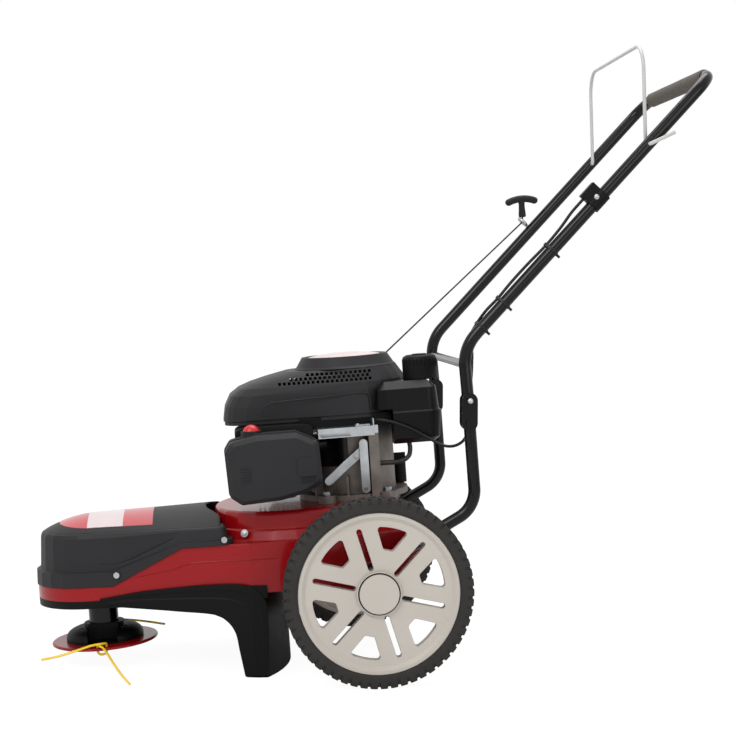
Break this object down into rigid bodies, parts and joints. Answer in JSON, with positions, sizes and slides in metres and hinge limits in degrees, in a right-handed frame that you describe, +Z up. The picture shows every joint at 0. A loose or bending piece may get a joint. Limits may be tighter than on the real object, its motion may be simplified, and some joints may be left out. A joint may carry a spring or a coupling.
{
  "type": "wheeled string trimmer",
  "caption": "Walk-behind string trimmer: an engine on a steel deck drives a line head at the nose by belt, on large wheels with a tall push handle.",
  "frame": {"origin": "on the ground, midway between the wheels and under the middle of the axle", "axes": "+X to the rear, towards the person who pushes it, +Y to the machine's right, +Z up"},
  "size_m": [1.1274, 0.52, 1.0403],
  "materials": {
    "red_paint": "gloss red enamel on pressed steel",
    "black_paint": "gloss black enamel on steel",
    "white_paint": "white coated wire",
    "black_plastic": "matt black moulding with a fine grain",
    "zinc": "bright zinc plate",
    "steel": "turned steel",
    "casting": "bare die casting",
    "rim_plastic": "warm light grey moulding",
    "tyre": "black tyre rubber",
    "rubber": "black rubber",
    "red_rubber": "soft red rubber",
    "foam": "dark foam",
    "cable_sheath": "black cable sheath",
    "rope": "braided cord",
    "line": "yellow nylon line"
  },
  "bodies": {
    "chassis": {"deck": "red_paint", "belt_cover": "black_plastic", "cover_screws": "zinc", "debris_guard": "black_plastic", "spindle_housing": "black_paint", "spindle_bearings": "steel", "drive_belt": "rubber", "crankcase": "casting", "engine_bolts": "zinc", "cylinder_block": "casting", "rocker_cover": "casting", "spark_plug": "steel", "plug_boot": "rubber", "backing_plate": "black_plastic", "blower_shroud": "black_plastic", "recoil_cover": "black_plastic", "fuel_tank": "black_plastic", "fuel_hose": "rubber", "air_filter_base": "black_plastic", "air_filter_cover": "black_plastic", "carburettor": "casting", "muffler": "steel", "muffler_guard": "black_paint", "control_bracket": "zinc", "axle": "steel", "axle_nuts": "zinc", "left_lower_handle": "black_paint", "right_lower_handle": "black_paint", "handle_bolts": "zinc", "fold_plates": "black_paint", "brake_cable_lower": "cable_sheath", "starter_rope": "rope"},
    "left_wheel": {"left_rim": "rim_plastic", "left_tyre": "tyre", "left_hub_cap": "rim_plastic"},
    "right_wheel": {"right_rim": "rim_plastic", "right_tyre": "tyre", "right_hub_cap": "rim_plastic"},
    "crank": {"crankshaft": "steel", "flywheel": "casting", "drive_pulley": "steel"},
    "head": {"spindle_shaft": "steel", "driven_pulley": "steel", "trimmer_hub": "black_plastic", "trimmer_disc": "red_paint", "trimmer_line_near": "line", "trimmer_line_far": "line"},
    "handle": {"upper_handle": "black_paint", "handle_brace": "black_paint", "foam_grip": "foam", "cable_clamp": "black_plastic", "brake_cable_upper": "cable_sheath", "rope_guide": "zinc"},
    "bail": {"control_bail": "white_paint"},
    "starter": {"starter_grip": "black_plastic"},
    "primer": {"primer_bulb": "red_rubber"},
    "fuel_cap": {"fuel_cap": "black_plastic"},
    "governor": {"governor_lever": "zinc"},
    "brake": {"brake_lever": "zinc"},
    "oil_cap": {"oil_cap": "black_plastic"}
  },
  "joints": [
    {"name": "left_wheel_spin", "type": "hinge", "parent": "chassis", "child": "left_wheel", "pos_m": [0, -0.238, 0.1525], "axis": [0, 1, 0], "continuous": true},
    {"name": "right_wheel_spin", "type": "hinge", "parent": "chassis", "child": "right_wheel", "pos_m": [0, 0.238, 0.1525], "axis": [0, 1, 0], "continuous": true},
    {"name": "crank_spin", "type": "hinge", "parent": "chassis", "child": "crank", "pos_m": [-0.02741, 0, 0.40119], "axis": [-0.0698, 0, 0.9976], "continuous": true},
    {"name": "head_spin", "type": "hinge", "parent": "chassis", "child": "head", "pos_m": [-0.45489, 0, 0.12069], "axis": [-0.0698, 0, 0.9976], "continuous": true},
    {"name": "handle_fold", "type": "hinge", "parent": "chassis", "child": "handle", "pos_m": [0.151, 0, 0.456], "axis": [0, 1, 0], "range_deg": [0, 85], "deforming": ["starter_rope", "brake_cable_lower", "brake_cable_upper"]},
    {"name": "bail_swing", "type": "hinge", "parent": "handle", "child": "bail", "pos_m": [0.44463, 0, 0.87133], "axis": [0, 1, 0], "range_deg": [0, 36], "stiffness_Nm_per_rad": 0.6, "springref_deg": -34.38},
    {"name": "brake_swing", "type": "hinge", "parent": "chassis", "child": "brake", "pos_m": [-0.02199, -0.111, 0.40959], "axis": [-0.0698, 0, 0.9976], "range_deg": [0, 18]},
    {"name": "starter_pull", "type": "slide", "parent": "handle", "child": "starter", "axis": [-0.0904, -0.1507, 0.9844], "range_m": [0, 0.45], "stiffness_N_per_m": 8, "springref_m": -0.5},
    {"name": "primer_press", "type": "slide", "parent": "chassis", "child": "primer", "axis": [0.0698, 0, -0.9976], "range_m": [0, 0.005], "stiffness_N_per_m": 400, "springref_m": -0.002},
    {"name": "fuel_cap_turn", "type": "hinge", "parent": "chassis", "child": "fuel_cap", "pos_m": [0.08771, -0.075, 0.48944], "axis": [-0.0698, 0, 0.9976], "range_deg": [0, 90]},
    {"name": "oil_cap_turn", "type": "hinge", "parent": "chassis", "child": "oil_cap", "pos_m": [0.06605, 0.036, 0.29746], "axis": [-0.0698, 0, 0.9976], "range_deg": [0, 90]},
    {"name": "governor_swing", "type": "hinge", "parent": "chassis", "child": "governor", "pos_m": [-0.0064, -0.098, 0.30142], "axis": [0, 1, 0], "range_deg": [-8, 8], "stiffness_Nm_per_rad": 0.1}
  ],
  "couplings": [
    {"joint": "head_spin", "follows": "crank_spin", "ratio": 0.67308},
    {"joint": "brake_swing", "follows": "bail_swing", "ratio": 0.45}
  ]
}
